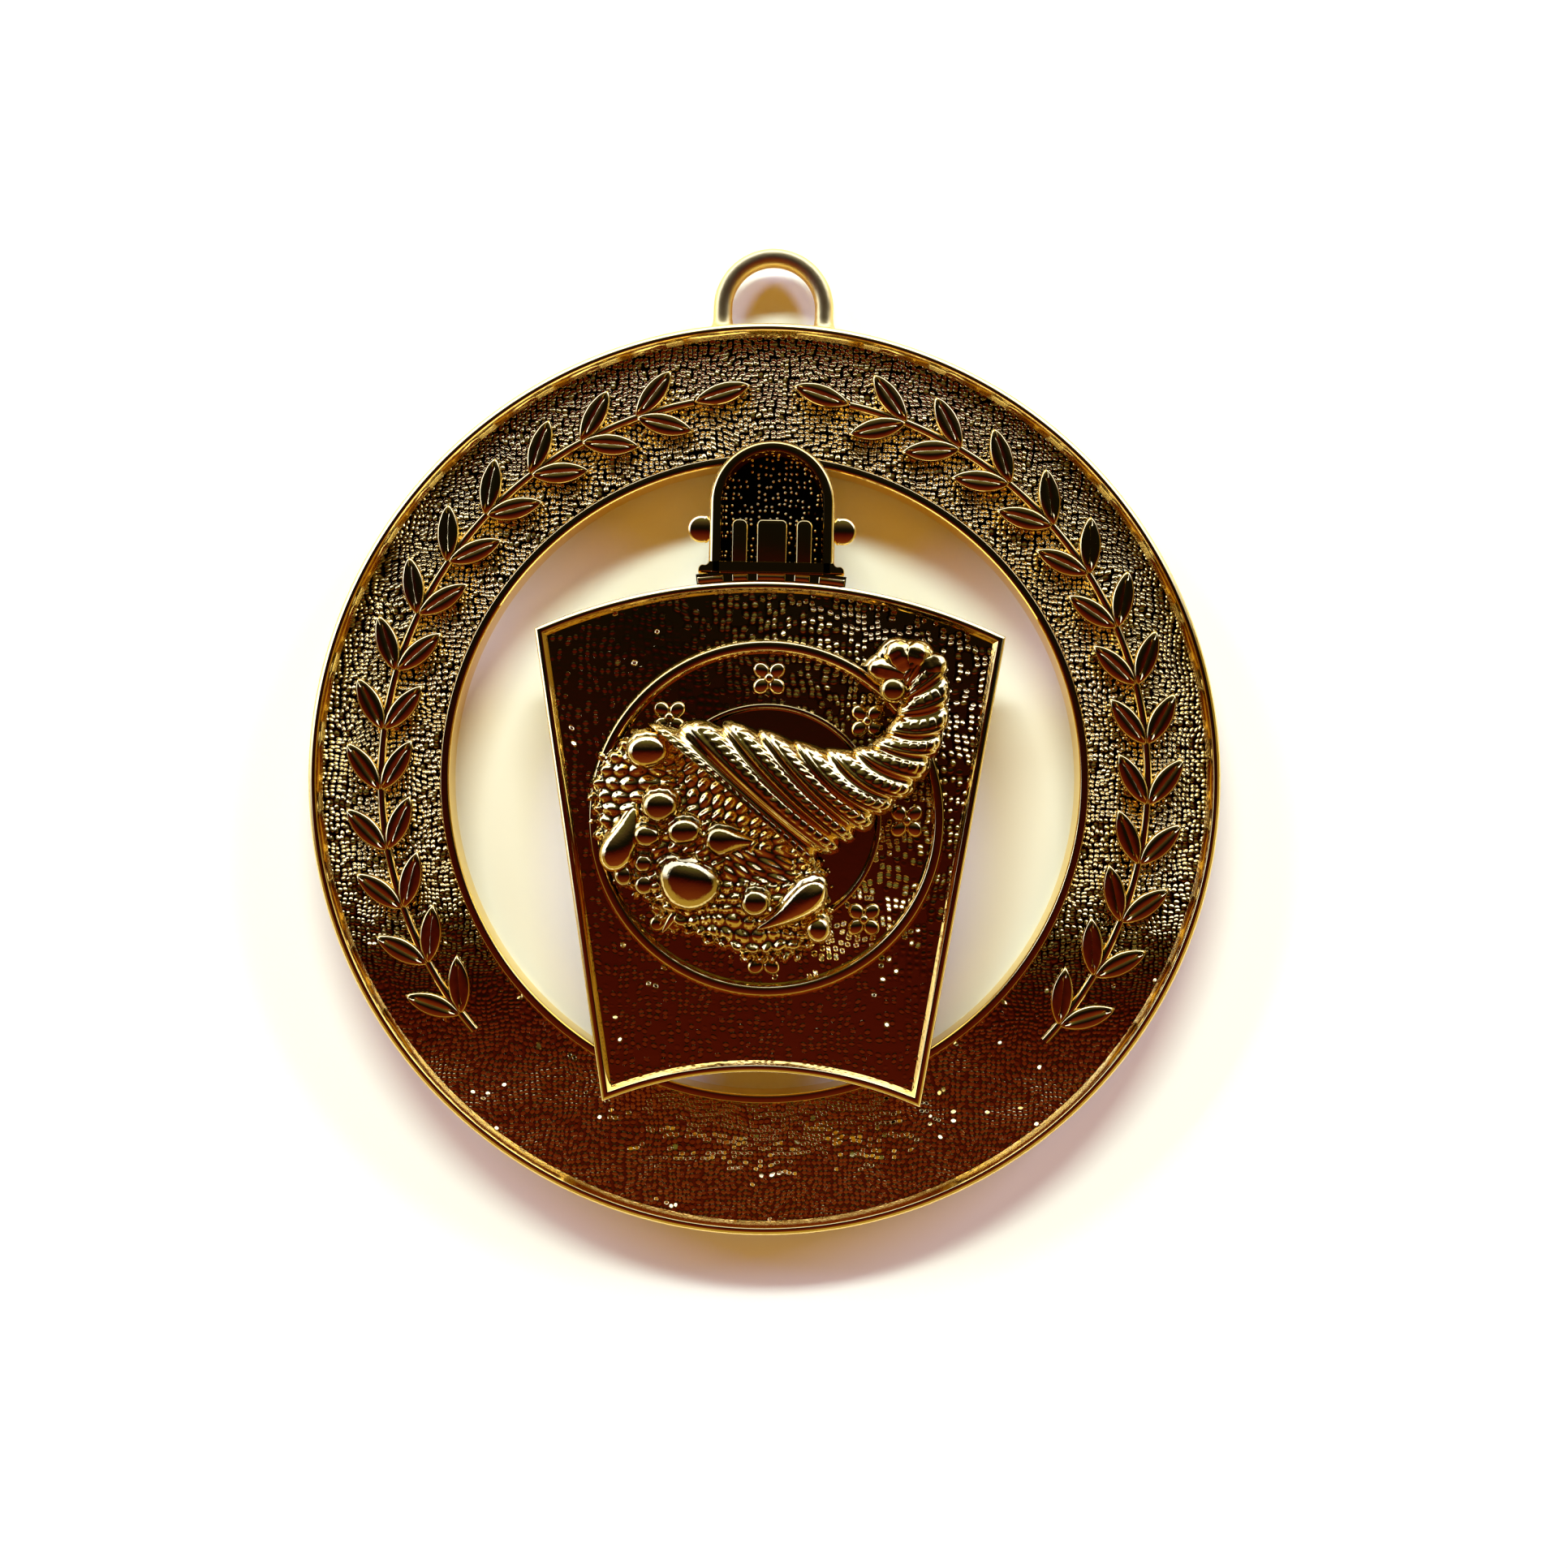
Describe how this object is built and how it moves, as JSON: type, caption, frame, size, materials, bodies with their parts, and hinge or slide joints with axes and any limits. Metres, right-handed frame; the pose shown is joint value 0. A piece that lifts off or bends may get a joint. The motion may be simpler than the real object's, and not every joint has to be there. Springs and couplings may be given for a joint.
{
  "type": "masonic collar jewel",
  "caption": "Round gilt collar jewel: textured ring with raised leaf branches and a wire loop, keystone plaque with lewis on top, and an applied horn of plenty.",
  "frame": {"origin": "under the middle of the whole jewel, on the plane of the ring's flat back", "axes": "+Z out of the jewel's face, +Y from the middle towards the loop, +X to the right of someone facing the jewel"},
  "size_m": [0.08, 0.0869, 0.0089],
  "materials": {
    "ring_gilt": "gilt, polished rims over a linen-textured field",
    "plaque_gilt": "gilt, polished borders over a linen-textured field",
    "emblem_gilt": "gilt, polished relief",
    "pin_brass": "filed flush"
  },
  "bodies": {
    "root": {"ring": "ring_gilt", "keystone_plaque": "plaque_gilt", "cornucopia": "emblem_gilt", "rivet_left": "pin_brass", "rivet_right": "pin_brass", "post_left": "pin_brass", "post_right": "pin_brass"}
  },
  "joints": []
}
